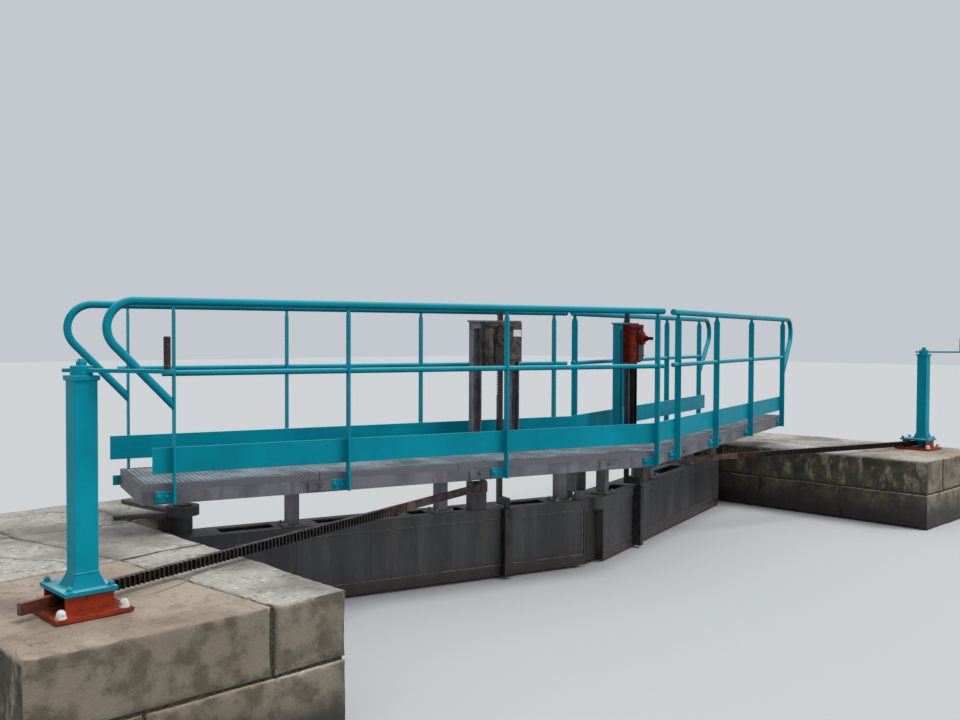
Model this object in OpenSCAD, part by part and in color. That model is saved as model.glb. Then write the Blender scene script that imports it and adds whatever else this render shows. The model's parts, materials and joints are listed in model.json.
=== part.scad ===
// Pair of steel mitre gate leaves across a narrow canal lock, with walkways, paddle gear
// and the bank winches whose toothed racks pull the leaves open.
// X runs across the lock, -Y points into the chamber, +Y down river and Z up.
// The origin lies at water level on the lock's centre line, half way along the bank walls.

/* [Lock] */
// Distance between the axes of the two heel posts
hinge_span = 6040; // [5600:20:6600]
// Angle of a closed leaf from the line straight across the lock
mitre_angle = 15.3; // [14:0.1:18]
// Gap left between the two mitre faces
mitre_gap = 0.6; // [0.6:0.2:5]
// Height of the coping above the water
coping_height = 650; // [620:10:680]
// Height of the top of a leaf above the water
leaf_height = 525; // [450:5:560]
// Height of the walkway deck above the water
deck_height = 950; // [900:10:1100]
// Clearance under a leaf
leaf_lift = 20; // [12:1:40]

/* [Leaf] */
// Thickness of a leaf over its flanges
leaf_t = 280; // [240:10:320]
// Thickness of the skin plate
skin_t = 10; // [6:1:16]
// Depth of the top and bottom beams
beam_h = 75; // [60:5:120]
// Thickness of the beam flanges
flange_t = 10; // [6:1:16]
// Thickness of the ribs and of the middle girder
rib_t = 12; // [8:1:20]
// Number of upright ribs behind the skin
rib_count = 4; // [2:1:6]
// Width of the timber mitre post along the leaf
mitre_post_w = 110; // [80:5:160]
// Distance that the mitre post is set back from the chamber face
mitre_set_back = 70; // [40:5:100]
// Height of the rounded steel cap
cap_h = 95; // [60:5:120]
// Distance of the welded skin joint from the heel-post axis
skin_joint_x = 1600; // [1200:50:2000]

/* [Heel post] */
// Length of the flat-sided part of the heel post beyond its axis
heel_w = 150; // [120:10:200]
// Diameter of the neck that turns in the collar
neck_d = 120; // [90:5:150]
// Width of the collar ring around the neck
collar_wall = 45; // [30:5:60]
// Height of the collar ring and its straps
collar_h = 60; // [40:5:70]
// Thickness of the anchor straps on the coping
strap_t = 20; // [16:1:40]
// Width of the anchor straps
strap_w = 60; // [40:5:90]
// Length of the anchor straps
strap_l = 700; // [400:20:900]
// Diameter of the pintle under the heel post
pintle_d = 100; // [70:5:130]
// Height of the pintle inside the heel post
pintle_h = 60; // [40:5:90]
// Clearance around a turning pin
pin_clear = 0.08; // [0.02:0.02:0.1]

/* [Bank wall] */
// Depth of the recess that takes the open leaf, from the heel-post axis
recess_depth = 310; // [300:5:400]
// Distance from the heel-post axis to the face of the lower wall
wall_face = 150; // [145:5:170]
// Width of the bank wall behind the recess
wall_w = 1430; // [1300:10:1700]
// Reach of the bank wall into the chamber side
wall_up = 2220; // [2210:10:2400]
// Reach of the bank wall down river
wall_down = 900; // [600:50:1400]
// Clearance of the hollow quoin around the heel post
quoin_clear = 6; // [5:1:12]

/* [Walkway] */
// Distance from the heel-post axis to the middle of the walkway, towards the chamber
walk_offset = 248; // [230:2:260]
// Width of the deck over its side channels
deck_w = 790; // [740:10:840]
// Deck beyond the near heel-post axis
near_deck_back = 358; // [300:2:400]
// Deck beyond the far heel-post axis
far_deck_back = 640; // [560:10:700]
// Gap between the two walkways at the mitre
walk_gap = 40; // [20:5:60]
// Joint of the walkways, off the mitre toward the far bank
walk_shift = 85; // [0:5:100]
// Length of the splice plates on the side channels
splice_w = 150; // [120:10:160]
// Depth of the grating panels
grating_h = 37; // [25:1:45]
// Pitch of the grating bars
bar_pitch = 30; // [26:1:60]
// Thickness of the grating bars
bar_t = 5; // [3:1:8]
// Width of the edge bars of a grating panel
edge_bar = 8; // [5:1:12]
// Distance from the heel-post axis to the first panel seam
first_seam = 700; // [600:10:800]
// Pitch of the panel seams
seam_pitch = 970; // [900:10:1000]
// Gap at a panel seam
seam_gap = 4; // [2:1:8]
// Depth of the side channels
channel_h = 78; // [70:2:100]
// Width of the channel flanges
channel_w = 45; // [35:5:60]
// Thickness of the channel web
web_t = 8; // [5:1:12]
// Side of the square tubes that stand on the leaf
stub_w = 80; // [60:5:100]
// Side of the base plates under those tubes
stub_plate = 150; // [120:5:160]
// Support box near the mitre, along the near leaf
end_box_x = 2985; // [2970:5:2990]
// Size of the support box along the leaf
end_box_w = 100; // [80:5:100]
// Thickness of those base plates
plate_t = 12; // [8:1:16]

/* [Railing] */
// Height of the handrail above the deck
rail_h = 1050; // [950:10:1150]
// Height of the middle rail above the deck
mid_rail_h = 640; // [560:10:700]
// Diameter of the handrail
rail_d = 48; // [42:1:60]
// Diameter of the middle rail
mid_rail_d = 34; // [27:1:40]
// Width of the flat posts across the railing
post_w = 50; // [40:5:60]
// Thickness of the flat posts
post_t = 12; // [8:1:16]
// Radius of the bend at the bank end of the handrail
bend_r = 150; // [110:10:180]
// Angle through which that bend turns
bend_angle = 133; // [125:1:140]
// Height of the toe board
toe_h = 150; // [120:5:170]
// Thickness of the toe board
toe_t = 8; // [5:1:12]
// Gap between the toe board and the deck
toe_gap = 62; // [40:2:80]
// Thickness of the foot brackets of the posts
foot_t = 10; // [8:1:14]
// Foot plate's reach from the post on its long side
foot_long = 100; // [80:5:110]
// Foot plate's reach from the post on its short side
foot_short = 14; // [10:1:20]
// Handrail beyond the last post
rail_over = 120; // [80:10:140]
// Chamber-side posts along the near leaf
near_chamber_posts = [-183, 877, 2021, 3322]; // [-600:1:3400]
// River-side posts along the near leaf
near_river_posts = [-302, 749, 1778, 2961]; // [-600:1:3400]
// Chamber-side posts along the far leaf
far_chamber_posts = [-523, 724, 1842, 2848]; // [-600:1:3400]
// River-side posts along the far leaf
far_river_posts = [-309, 725, 1830, 2925]; // [-600:1:3400]

/* [Rack] */
// Distance of the winch column behind the heel-post axis
column_back = 1335; // [1320:5:1350]
// Distance of the winch column from the heel-post axis into the chamber side
column_up = 1760; // [1745:5:1775]
// Distance of the rack pin from the heel-post axis, along the leaf
pin_x = 2110; // [2090:5:2130]
// Distance of the rack pin from the middle of the leaf, towards the chamber
pin_y = 185; // [180:5:200]
// Diameter of the rack pin
pin_d = 30; // [24:2:36]
// Height of the rack bar
rack_h = 50; // [40:2:56]
// Width of the rack bar over its teeth
rack_w = 40; // [34:1:46]
// Pitch of the rack teeth
tooth_pitch = 28; // [24:1:36]
// Depth of the rack teeth
tooth_h = 14; // [10:1:16]
// Distance from the winch shaft to the middle of the rack bar
rack_offset = 72; // [68:1:76]
// Length of the rack beyond the winch shaft
rack_tail = 240; // [200:10:400]
// Distance from the rack pin to the first tooth
rack_plain = 1000; // [900:20:1040]

/* [Winch] */
// Height of the column head above the coping
column_h = 990; // [900:10:1100]
// Side of the square column
column_w = 96; // [90:2:110]
// Wall of the square column
column_wall = 6; // [4:1:10]
// Side of the flared foot of the column
flare_w = 146; // [130:2:160]
// Height of the flared foot
flare_h = 62; // [50:5:100]
// Thickness of the rack housing's foot plate
foot_plate_t = 18; // [12:1:24]
// Height of the gap for the rack in its housing
housing_gap = 74; // [66:2:84]
// Thickness of the housing's upright plates
housing_t = 12; // [8:1:16]
// Length of the housing along the lock wall's face
housing_x = 200; // [180:10:220]
// Distance from the winch shaft to the outside of the front plate
housing_front = 76; // [70:2:84]
// Distance from the winch shaft to the outside of the back plate
housing_back = 166; // [164:2:180]
// Diameter of the winch shaft
shaft_d = 30; // [24:2:36]
// Outer radius of the pinion
pinion_r = 42; // [36:1:44]
// Number of pinion teeth
pinion_teeth = 9; // [8:1:12]
// Length of the crank arm between shaft and grip
crank_r = 400; // [300:10:420]
// Width of the crank arm
arm_w = 42; // [30:2:50]
// Thickness of the crank arm
arm_t = 16; // [10:1:20]
// Diameter of the crank's grip
grip_d = 28; // [24:1:36]
// Height of the crank's grip
grip_h = 135; // [100:5:160]
// Direction of the near crank at rest
near_crank_turn = -58; // [-180:1:180]
// Direction of the far crank at rest, before it is mirrored
far_crank_turn = -140; // [-180:1:180]

/* [Paddle gear] */
// Rod's place along the near leaf
near_rod_x = 2320; // [2300:5:2340]
// Rod's place along the far leaf
far_rod_x = 2380; // [2360:5:2400]
// Middle of the gear's columns, back from the rod
gear_shift = 47; // [44:1:50]
// Distance of the paddle rod from the leaf's chamber face
rod_out = 35; // [34:1:40]
// Gear and upper rod, off the leaf's axis toward the chamber
gear_out = 60; // [50:2:70]
// Height of the step between the rod's upper and lower parts
step_h = 60; // [50:5:70]
// Side of the square paddle rod
rod_w = 36; // [30:2:40]
// Height of the rod's top above the deck
rod_top = 1060; // [1000:10:1100]
// Length of the toothed part of the rod
rod_teeth_l = 640; // [500:20:700]
// Spacing of the two gear columns
gear_span = 325; // [300:5:360]
// Width of a gear column
gear_col_w = 76; // [60:2:90]
// Depth of a gear column
gear_col_d = 60; // [50:5:80]
// Height of the gear frame above the deck
gear_h = 975; // [900:5:1000]
// Height of the gearbox
box_h = 270; // [220:10:300]
// Depth of the gearbox
box_d = 150; // [120:10:170]
// Outer width of the rod's guide on the leaf
guide_w = 64; // [60:2:80]
// Wall of the rod's guide
guide_t = 8; // [5:1:10]

/* [Hidden] */
$fn = 64;

// Small running gap between a piece and its seat
seat = 0.3;
// Overlap of shapes that are joined into one solid
eps = 0.5;

turquoise = [0.0, 0.50, 0.58];
steel_grey = [0.33, 0.33, 0.36];
dark_grey = [0.27, 0.27, 0.28];
grating_grey = [0.60, 0.60, 0.60];
red_brown = [0.50, 0.18, 0.10];
grease_black = [0.10, 0.09, 0.08];
timber_dark = [0.18, 0.15, 0.12];
stone_pale = [0.66, 0.61, 0.55];
gear_grey = [0.38, 0.36, 0.35];

half_span = hinge_span / 2;
half_t = leaf_t / 2;
heel_r = half_t;
bank_mid = (wall_up - wall_down) / 2;

// Place along a leaf at which a plane parallel to the mitre, gap away from it, is met
function mitre_x(y, gap) = (half_span - gap - y * sin(mitre_angle)) / cos(mitre_angle);

// Middle of the winch shaft and of the rack pin on the near side
shaft_at = [-half_span - column_back, -column_up];
pin_at = [
    -half_span + pin_x * cos(mitre_angle) - pin_y * sin(mitre_angle),
    -pin_x * sin(mitre_angle) - pin_y * cos(mitre_angle)
];
pin_to_shaft = shaft_at - pin_at;
rack_span = norm(pin_to_shaft);
rack_angle = atan2(pin_to_shaft[1], pin_to_shaft[0]) - asin(rack_offset / rack_span);
rack_reach = sqrt(rack_span * rack_span - rack_offset * rack_offset);
rack_l = rack_reach + rack_tail;

// Levels of the rack housing and the rack
housing_z = coping_height + foot_plate_t;
flange_z = housing_z + housing_gap;
rack_z = housing_z + (housing_gap - rack_h) / 2;
tube_z = flange_z + foot_plate_t;
head_z = coping_height + column_h;
lug_t = plate_t;

// Walkway levels and edges
frame_z = deck_height - grating_h - channel_h;
grating_z = deck_height - grating_h;
deck_chamber = -walk_offset - deck_w / 2;
deck_river = -walk_offset + deck_w / 2;
post_out = foot_t + post_w / 2;
rail_chamber = deck_chamber - post_out;
rail_river = deck_river + post_out;
rail_z = deck_height + rail_h;
mid_rail_z = deck_height + mid_rail_h;

// Sizes of each side, looked up by near or far
near = 0;
far = 1;
crank_turn = [near_crank_turn, far_crank_turn];
chamber_posts = [near_chamber_posts, far_chamber_posts];
river_posts = [near_river_posts, far_river_posts];
deck_back = [near_deck_back, far_deck_back];
deck_gap = [walk_gap / 2 - walk_shift, walk_gap / 2 + walk_shift];
rod_at = [near_rod_x, far_rod_x];
foot_reach = [[-foot_long, foot_short], [-foot_short, foot_long]];
stub_x = [710, 1830, 2870];
top_slots = [[230, 590], [890, 1510], [1590, 1730], [1930, 2030], [2380, 2740], [2954, 2980]];
seams = [for (i = [0:2]) first_seam + i * seam_pitch];
end_boxes = [[end_box_x], []];
splice_x = [[seams[0], stub_x[1], 2900], [seams[1], seams[2]]];

rod_y = -half_t - rod_out;
gear_y = -gear_out;
gear_way = [-1, 1];

// Placing of the near bank's pieces, drawn with Y counted from the line between the heel posts
module near_side() {
    translate([0, bank_mid, 0]) children();
}

module far_side() {
    mirror([1, 0, 0]) near_side() children();
}

// Placing of a leaf piece: X along the leaf from the heel-post axis, -Y towards the chamber
module on_near_leaf() {
    near_side() translate([-half_span, 0, 0]) rotate(-mitre_angle) children();
}

module on_far_leaf() {
    mirror([1, 0, 0]) on_near_leaf() children();
}

module block(low, high) {
    translate(low) cube(high - low);
}

// Upright prism of a plan outline between two levels
module slab(z0, z1) {
    translate([0, 0, z0]) linear_extrude(z1 - z0) children();
}

// Plan of the deck, drawn in by a margin, with its end parallel to the mitre
module deck_plan(side, margin) {
    y0 = deck_chamber + margin;
    y1 = deck_river - margin;
    gap = deck_gap[side] + margin;
    back = margin - deck_back[side];
    polygon([[back, y0], [mitre_x(y0, gap), y0], [mitre_x(y1, gap), y1], [back, y1]]);
}

// Masonry of one bank, with the leaf recess and the hollow quoin
module abutment() {
    color(stone_pale)
    slab(0, coping_height)
    difference() {
        union() {
            translate([-half_span - recess_depth - wall_w, -wall_up])
                square([wall_w, wall_up + wall_down]);
            translate([-half_span - recess_depth - eps, 40])
                square([recess_depth + eps, wall_down - 40]);
            translate([-half_span - eps, 125])
                square([wall_face + eps, wall_down - 125]);
        }
        translate([-half_span, 0]) circle(heel_r + quoin_clear);
    }
}

// Collar on the coping with its anchor straps, and the pintle shoe below
module heel_bearings() {
    ring_r = neck_d / 2 + collar_wall;
    base_z = leaf_lift - seat;
    color(dark_grey)
    translate([-half_span, 0, 0]) {
        difference() {
            union() {
                translate([0, 0, coping_height]) cylinder(h = collar_h, r = ring_r);
                for (strap = [[96, 1], [160, 0.6]]) {
                    rotate(strap[0])
                        block([0, -strap_w / 2, coping_height],
                            [strap_l * strap[1], strap_w / 2, coping_height + strap_t]);
                }
            }
            translate([0, 0, coping_height - 1])
                cylinder(h = collar_h + 2, d = neck_d + 2 * pin_clear);
        }
        cylinder(h = base_z, r = heel_r - 10);
        translate([0, 0, base_z - eps]) cylinder(h = pintle_h + eps, d = pintle_d);
    }
}

// Foot plate and the two upright plates that the rack runs between
module rack_housing() {
    color(red_brown)
    translate([shaft_at[0], shaft_at[1], 0]) {
        difference() {
            block([-160, -housing_front - 60, coping_height],
                [160, housing_back + 60, housing_z]);
            translate([0, 0, coping_height - 1])
                cylinder(h = foot_plate_t + 2, d = shaft_d + 2 * pin_clear);
        }
        block([-housing_x / 2, -housing_front, housing_z],
            [housing_x / 2, -housing_front + housing_t, flange_z]);
        block([-housing_x / 2, housing_back - housing_t, housing_z],
            [housing_x / 2, housing_back, flange_z]);
    }
}

// Square winch column with its bolted flange, flared foot and head plate
module crank_column() {
    half_w = column_w / 2;
    inner = half_w - column_wall;
    color(turquoise)
    translate([shaft_at[0], shaft_at[1], 0])
    difference() {
        union() {
            block([-housing_x / 2 - 10, -housing_front - 20, flange_z],
                [housing_x / 2 + 10, housing_back + 20, tube_z]);
            block([-half_w, -half_w, tube_z - eps], [half_w, half_w, head_z - 20]);
            translate([0, 0, tube_z - eps]) rotate(45)
                cylinder(h = flare_h, d1 = flare_w * sqrt(2), d2 = column_w * sqrt(2), $fn = 4);
            block([-half_w - 8, -half_w - 8, head_z - 20], [half_w + 8, half_w + 8, head_z]);
        }
        block([-inner, -inner, tube_z], [inner, inner, head_z - 20 - plate_t]);
        translate([0, 0, flange_z - 1])
            cylinder(h = head_z, d = shaft_d + 2 * pin_clear);
    }
}

// Winch shaft with its pinion below and the crank arm on top
module crank(side) {
    hub_z = head_z + seat;
    root_r = pinion_r - tooth_h + 2;
    step = 360 / pinion_teeth;
    tooth = [[root_r, -0.37], [pinion_r, -0.15], [pinion_r, 0.15], [root_r, 0.37]];
    outline = [for (i = [0:pinion_teeth - 1]) each
        [for (p = tooth) [p[0] * cos((i + p[1]) * step), p[0] * sin((i + p[1]) * step)]]];
    color(turquoise)
    translate([shaft_at[0], shaft_at[1], 0]) {
        translate([0, 0, coping_height + seat])
            cylinder(h = hub_z + 68 - coping_height, d = shaft_d);
        translate([0, 0, rack_z]) linear_extrude(rack_h) polygon(outline);
        translate([0, 0, hub_z]) cylinder(h = 40, d = 90);
        translate([0, 0, hub_z + 40 - eps]) cylinder(h = 20, d = 46, $fn = 6);
        rotate(crank_turn[side]) {
            block([-80, -arm_w / 2, hub_z + 12], [crank_r, arm_w / 2, hub_z + 12 + arm_t]);
            translate([crank_r, 0, hub_z + 12]) cylinder(h = arm_t, d = arm_w + 10);
        }
    }
}

// Upright grip at the end of the crank arm
module crank_grip(side) {
    grip_z = head_z + seat + 12 + arm_t;
    color(grease_black)
    translate([shaft_at[0], shaft_at[1], grip_z])
        rotate(crank_turn[side]) translate([crank_r, 0, 0]) cylinder(h = grip_h, d = grip_d);
}

// Toothed bar from the leaf pin through the rack housing
module rack() {
    base = rack_w / 2 - tooth_h;
    count = floor((rack_reach + housing_x / 4 - rack_plain) / tooth_pitch);
    flank = tooth_pitch * 0.14;
    tip = tooth_pitch * 0.24;
    teeth = [for (i = [0:count - 1]) let (x = rack_plain + i * tooth_pitch)
        each [[x, base], [x + flank, rack_w / 2], [x + flank + tip, rack_w / 2],
            [x + 2 * flank + tip, base]]];
    color(grease_black)
    translate([pin_at[0], pin_at[1], rack_z]) rotate(rack_angle)
    difference() {
        union() {
            linear_extrude(rack_h)
                polygon(concat([[0, -rack_w / 2], [0, base]], teeth,
                    [[rack_l, base], [rack_l, -rack_w / 2]]));
            cylinder(h = rack_h, r = 34);
        }
        translate([0, 0, -1]) cylinder(h = rack_h + 2, d = pin_d + 2 * pin_clear);
    }
}

// Round heel post with its flat-sided wing, its neck and the socket for the pintle
module heel_post() {
    color(dark_grey)
    difference() {
        union() {
            translate([0, 0, leaf_lift]) cylinder(h = leaf_height - leaf_lift, r = heel_r);
            block([0, -half_t, leaf_lift], [heel_w, half_t, leaf_height]);
            translate([0, 0, leaf_height - eps])
                cylinder(h = coping_height + collar_h + 12 - leaf_height, d = neck_d);
        }
        translate([0, 0, leaf_lift - 1])
            cylinder(h = pintle_h + 2, d = pintle_d + 2 * pin_clear);
    }
}

// Plan of the leaf between the heel post and a line parallel to the mitre
module leaf_plan(y0, y1, gap) {
    polygon([[heel_w, y0], [mitre_x(y0, gap), y0], [mitre_x(y1, gap), y1], [heel_w, y1]]);
}

// Top and bottom beams, middle girder, ribs, and the end plate with its rounded nose
module leaf_frame() {
    end_gap = mitre_gap / 2 + mitre_post_w;
    rib_low = leaf_lift + flange_t;
    rib_high = leaf_height - flange_t;
    inner = half_t - flange_t;
    mid_z = (leaf_height + leaf_lift) / 2;
    last_x = mitre_x(inner, end_gap) - rib_t;
    nose_x = mitre_x(-mitre_set_back, end_gap) + rib_t;
    rib_step = (last_x - heel_w) / rib_count;
    color(dark_grey) {
        difference() {
            slab(leaf_lift, leaf_height) leaf_plan(-half_t, half_t, end_gap);
            slab(leaf_lift + beam_h, leaf_height - beam_h)
                leaf_plan(-half_t - 1, half_t + 1, end_gap - 1);
            slab(leaf_lift + flange_t, leaf_height - flange_t) leaf_plan(-inner, inner, end_gap - 1);
            for (x = top_slots) {
                block([x[0], -half_t + beam_h, leaf_height - flange_t - 1],
                    [x[1], half_t - beam_h, leaf_height + 1]);
            }
        }
        slab(leaf_lift, leaf_height) intersection() {
            leaf_plan(-half_t, half_t, end_gap);
            polygon([for (p = [[-half_t, rib_t], [half_t, rib_t], [half_t, -1], [-half_t, -1]])
                [mitre_x(p[0], end_gap + p[1]), p[0]]]);
        }
        slab(leaf_height - cap_h, leaf_height) {
            translate([nose_x, seat - mitre_set_back]) intersection() {
                circle(r = mitre_set_back + seat);
                translate([0, -mitre_set_back - seat]) square([mitre_set_back * 2, mitre_set_back - seat]);
            }
            polygon([
                [mitre_x(-half_t, end_gap + rib_t), -half_t],
                [nose_x + eps, -half_t],
                [nose_x + eps, -mitre_set_back - seat],
                [mitre_x(-mitre_set_back - seat, end_gap + rib_t), -mitre_set_back - seat]
            ]);
        }
        slab(mid_z - rib_t / 2, mid_z + rib_t / 2) leaf_plan(-inner + skin_t, inner, end_gap);
        for (i = [1:rib_count]) {
            block([heel_w + i * rib_step, -inner + skin_t, rib_low - eps],
                [heel_w + i * rib_step + rib_t, inner, rib_high + eps]);
        }
    }
}

// Chamber-side skin plate, behind the lips of the beams, with its welded joint
module leaf_skin() {
    end_gap = mitre_gap / 2 + mitre_post_w;
    face = -half_t + flange_t;
    color(dark_grey)
    difference() {
        slab(leaf_lift + flange_t, leaf_height - flange_t)
            leaf_plan(face, face + skin_t, end_gap + rib_t + 0.1);
        block([skin_joint_x - 2, face - 1, 0], [skin_joint_x + 2, face + 3, leaf_height]);
    }
}

// Timber post that meets its twin at the mitre
module mitre_post() {
    back_gap = mitre_gap / 2 + mitre_post_w - 0.1;
    face = mitre_gap / 2;
    y0 = -half_t + mitre_set_back;
    color(timber_dark)
    slab(leaf_lift, leaf_height)
    polygon([
        [mitre_x(y0, back_gap), y0],
        [mitre_x(y0, face), y0],
        [mitre_x(half_t, face), half_t],
        [mitre_x(half_t, back_gap), half_t]
    ]);
}

// Clevis on the leaf's top beam, with the pin that holds the rack
module rack_bracket() {
    low = rack_z - seat;
    high = rack_z + rack_h + seat;
    back_y = -half_t + 10;
    color(dark_grey) {
        for (x = [pin_x - 62, pin_x + 50]) {
            block([x, back_y, leaf_height], [x + plate_t, -40, high + lug_t]);
        }
        block([pin_x - 62, back_y, leaf_height], [pin_x + 62, back_y + plate_t, high + lug_t]);
        for (z = [low - lug_t, high]) {
            translate([pin_x, -pin_y, z]) cylinder(h = lug_t, r = 34);
            block([pin_x - 34, -pin_y, z], [pin_x + 34, back_y + eps, z + lug_t]);
        }
        translate([pin_x, -pin_y, low - lug_t - 10])
            cylinder(h = high - low + 2 * lug_t + 20, d = pin_d);
    }
}

// Square tubes with base and head plates, and a box near the mitre, that carry the walkway
module walkway_supports(side) {
    color(steel_grey)
    for (x = stub_x) translate([x, -50, 0]) {
        half_p = stub_plate / 2;
        block([-half_p, -half_p, leaf_height], [half_p, half_p, leaf_height + plate_t]);
        block([-half_p, -half_p, frame_z - plate_t], [half_p, half_p, frame_z]);
        difference() {
            block([-stub_w / 2, -stub_w / 2, leaf_height + plate_t - eps],
                [stub_w / 2, stub_w / 2, frame_z - plate_t + eps]);
            block([-stub_w / 2 + 6, -stub_w / 2 + 6, leaf_height + plate_t],
                [stub_w / 2 - 6, stub_w / 2 - 6, frame_z - plate_t]);
        }
    }
    color(steel_grey)
    for (x = end_boxes[side]) translate([x, 0, 0]) {
        box_z = leaf_height + 60;
        difference() {
            block([0, -100, box_z], [end_box_w, 100, frame_z]);
            block([web_t, -101, box_z + web_t], [end_box_w - web_t, 101, frame_z - web_t]);
        }
        for (y = [-75, 45]) {
            block([25, y, leaf_height], [end_box_w - 25, y + 30, box_z + eps]);
        }
    }
}

// Ring of channels under the grating with its cross members and splice plates
module walkway_frame(side) {
    color(steel_grey) {
        difference() {
            slab(frame_z, frame_z + channel_h) deck_plan(side, 0);
            slab(frame_z - 1, frame_z + channel_h + 1) deck_plan(side, channel_w);
            slab(frame_z + 6, frame_z + channel_h - 6) deck_plan(side, web_t);
        }
        for (x = concat(stub_x, seams, [for (x = end_boxes[side]) x + end_box_w / 2])) {
            block([x - 20, deck_chamber + web_t - eps, frame_z],
                [x + 20, deck_river - web_t + eps, frame_z + channel_h]);
        }
        for (x = splice_x[side]) {
            block([x - splice_w / 2, deck_chamber - plate_t, frame_z + 10],
                [x + splice_w / 2, deck_chamber + eps, frame_z + channel_h - 10]);
        }
    }
}

// Grating panels with bearing bars across the walkway
module grating(side) {
    starts = concat([-deck_back[side]], seams);
    ends = concat(seams, [mitre_x(deck_chamber, deck_gap[side] - walk_gap)]);
    color(grating_grey)
    slab(grating_z, deck_height)
    difference() {
        for (i = [0:len(starts) - 1]) {
            x0 = starts[i] + (i > 0 ? seam_gap / 2 : 0);
            x1 = ends[i] - seam_gap / 2;
            slots = floor((x1 - x0 - 2 * edge_bar) / bar_pitch);
            difference() {
                intersection() {
                    deck_plan(side, 0);
                    translate([x0, deck_chamber]) square([x1 - x0, deck_w]);
                }
                intersection() {
                    deck_plan(side, edge_bar);
                    for (k = [0:slots]) {
                        slot_x = x0 + edge_bar + k * bar_pitch;
                        translate([slot_x, deck_chamber])
                            square([min(bar_pitch - bar_t, x1 - edge_bar - slot_x), deck_w]);
                    }
                }
            }
        }
        translate([rod_at[side] - 35, rod_y - 35]) square([70, gear_y - rod_y + 70]);
    }
}

// Flat posts with pointed heads, each bolted through a foot plate to the side channel
module railing_post(rail_y, inward, reach) {
    z0 = frame_z + 4;
    z1 = rail_z - rail_d / 2 - seat;
    foot_in = rail_y + inward * post_out;
    foot_out = foot_in - inward * (foot_t + eps);
    difference() {
        union() {
            rotate([90, 0, 90]) linear_extrude(post_t, center = true)
                polygon([
                    [rail_y - post_w / 2, z0], [rail_y + post_w / 2, z0],
                    [rail_y + post_w / 2, z1 - 45], [rail_y + 8, z1],
                    [rail_y - 8, z1], [rail_y - post_w / 2, z1 - 45]
                ]);
            block([reach[0], min(foot_in, foot_out), z0 + 8],
                [reach[1], max(foot_in, foot_out), frame_z + channel_h - 4]);
        }
        translate([0, rail_y, mid_rail_z]) rotate([0, 90, 0])
            cylinder(h = post_t + 2, d = mid_rail_d + 2 * seat, center = true);
    }
}

module railing_posts(side) {
    color(turquoise) {
        for (x = chamber_posts[side]) {
            translate([x, 0, 0]) railing_post(rail_chamber, 1, foot_reach[side]);
        }
        for (x = river_posts[side]) {
            translate([x, 0, 0]) railing_post(rail_river, -1, foot_reach[side]);
        }
    }
}

// Handrail with its bent end, from the mitre to the bank, and the straight middle rail
module rail_pair(rail_y, first, last, gap) {
    start = first - 210;
    end = min(last + rail_over, mitre_x(rail_y + rail_d / 2, gap));
    turn_end = [start - bend_r * sin(bend_angle), rail_z - bend_r + bend_r * cos(bend_angle)];
    slope = 180 - bend_angle;
    run = (first - post_t / 2 - seat - turn_end[0]) / cos(slope);
    translate([start, rail_y, rail_z]) rotate([0, 90, 0]) cylinder(h = end - start, d = rail_d);
    translate([start, rail_y, rail_z - bend_r]) rotate([90, 0, 0]) rotate(90)
        rotate_extrude(angle = bend_angle) translate([bend_r, 0]) circle(d = rail_d);
    intersection() {
        translate([turn_end[0], rail_y, turn_end[1]]) rotate([0, 90 + slope, 0])
            cylinder(h = run + rail_d, d = rail_d);
        block([turn_end[0] - rail_d, rail_y - rail_d, deck_height],
            [first - post_t / 2 - seat, rail_y + rail_d, rail_z]);
    }
    translate([first - 65, rail_y, mid_rail_z]) rotate([0, 90, 0])
        cylinder(h = end - first + 65, d = mid_rail_d);
}

module rails(side) {
    chamber = chamber_posts[side];
    river = river_posts[side];
    color(turquoise) {
        rail_pair(rail_chamber, chamber[0], chamber[3], deck_gap[side]);
        rail_pair(rail_river, river[0], river[3], deck_gap[side]);
    }
}

// Toe boards against the inner edges of the posts
module toe_board(y0, first, gap) {
    block([first - 115, y0, deck_height + toe_gap],
        [mitre_x(y0 + toe_t, gap), y0 + toe_t, deck_height + toe_gap + toe_h]);
}

module toe_boards(side) {
    color(turquoise) {
        toe_board(rail_chamber + post_w / 2, chamber_posts[side][0], deck_gap[side]);
        toe_board(rail_river - post_w / 2 - toe_t, river_posts[side][0], deck_gap[side]);
    }
}

// Two columns on the deck with a head plate and a shelf, which carry the paddle gearbox
module paddle_frame(side) {
    top = deck_height + gear_h;
    rod_x = rod_at[side];
    mid_x = rod_x + gear_way[side] * gear_shift;
    half_g = gear_span / 2;
    d0 = gear_y - gear_col_d / 2;
    d1 = gear_y + gear_col_d / 2;
    color(gear_grey)
    difference() {
        union() {
            for (end = [-1, 1]) {
                x = mid_x + end * half_g;
                block([x - gear_col_w / 2 - 20, d0 - 25, deck_height],
                    [x + gear_col_w / 2 + 20, d1 + 25, deck_height + plate_t]);
                block([x - gear_col_w / 2, d0, deck_height], [x + gear_col_w / 2, d1, top - plate_t]);
            }
            block([mid_x - half_g - gear_col_w / 2 - 8, d0 - 12, top - plate_t],
                [mid_x + half_g + gear_col_w / 2 + 8, d1 + 12, top]);
            block([mid_x - half_g, d0, top - box_h - 80],
                [mid_x + half_g, d1, top - box_h - 80 + plate_t]);
        }
        for (end = [-1, 1]) {
            x = mid_x + end * half_g;
            block([x - gear_col_w / 2 + 8, d0 - 1, deck_height + 40],
                [x + gear_col_w / 2 - 8, d1 - 8, top - 60]);
        }
        block([rod_x - 26, gear_y - 26, top - box_h - 100],
            [rod_x + 26, gear_y + 26, top + 1]);
    }
}

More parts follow.
